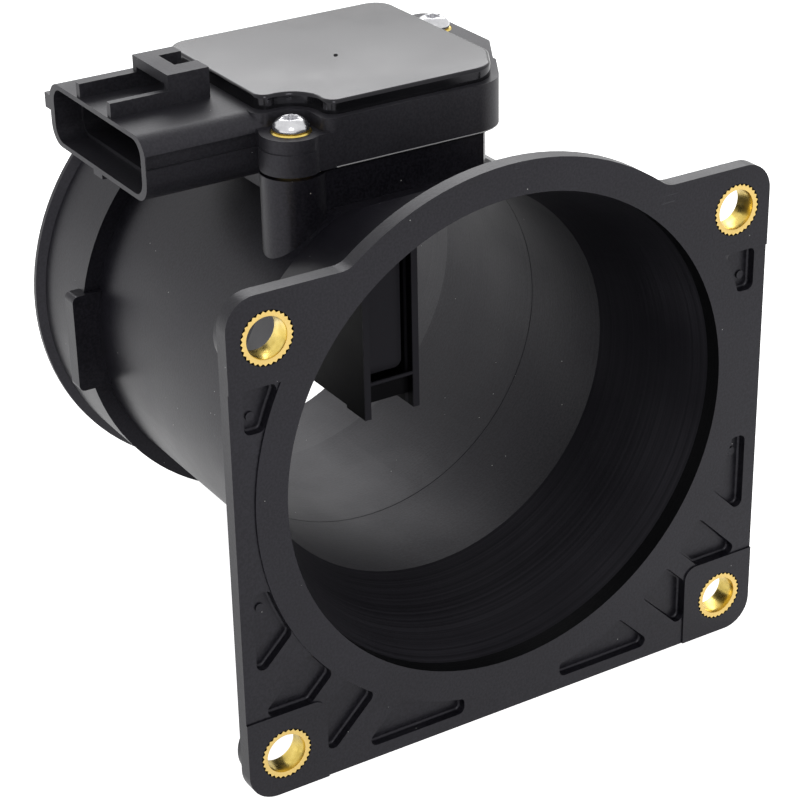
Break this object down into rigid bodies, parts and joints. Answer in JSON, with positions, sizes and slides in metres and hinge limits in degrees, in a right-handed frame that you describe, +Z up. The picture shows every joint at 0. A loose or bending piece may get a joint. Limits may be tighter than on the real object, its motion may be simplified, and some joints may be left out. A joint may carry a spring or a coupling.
{
  "type": "mass airflow sensor",
  "caption": "Flanged air intake tube with bolt bushes and a hose collar, carrying a sensor head with plug socket, lid and a probe that hangs in the air stream.",
  "frame": {"origin": "centre of the bore's mouth, on the flange's front face", "axes": "+Y along the bore from the flange face to the hose collar, +Z up towards the sensor head, the plug socket faces -X"},
  "size_m": [0.1096, 0.0997, 0.1147],
  "materials": {
    "housing_plastic": "matte black glass-filled nylon, lightly grained",
    "head_plastic": "satin black moulded plastic",
    "lid_plastic": "glossy black moulded plastic",
    "seal_rubber": "black flat seal",
    "bush_brass": "bright knurled brass",
    "screw_zinc": "bright zinc-plated steel",
    "terminal_tin": "tin-plated blade",
    "board_resin": "green glass-epoxy board",
    "chip_resin": "black moulded resin",
    "capacitor_ceramic": "tan ceramic",
    "carrier_plastic": "black moulded plastic",
    "post_steel": "plain steel pin",
    "element_ceramic": "glazed white ceramic rod with platinum leads",
    "bead_epoxy": "dark epoxy-coated bead on wire leads"
  },
  "bodies": {
    "root": {"air_temp_sensor": "bead_epoxy", "capacitor_1": "capacitor_ceramic", "capacitor_2": "capacitor_ceramic", "capacitor_3": "capacitor_ceramic", "circuit_board": "board_resin", "cold_wire": "element_ceramic", "cover_lid": "lid_plastic", "ear_bush_front": "bush_brass", "ear_bush_rear": "bush_brass", "element_carrier": "carrier_plastic", "element_post_1": "post_steel", "element_post_2": "post_steel", "element_post_3": "post_steel", "element_post_4": "post_steel", "flange_bush_1": "bush_brass", "flange_bush_2": "bush_brass", "flange_bush_3": "bush_brass", "flange_bush_4": "bush_brass", "head_screw_front": "screw_zinc", "head_screw_rear": "screw_zinc", "head_seal": "seal_rubber", "hot_wire": "element_ceramic", "probe_side_cover": "head_plastic", "regulator": "chip_resin", "sensor_housing": "head_plastic", "signal_chip": "chip_resin", "terminal_1": "terminal_tin", "terminal_2": "terminal_tin", "terminal_3": "terminal_tin", "terminal_4": "terminal_tin", "terminal_5": "terminal_tin", "terminal_6": "terminal_tin", "tube_housing": "housing_plastic"}
  },
  "joints": []
}
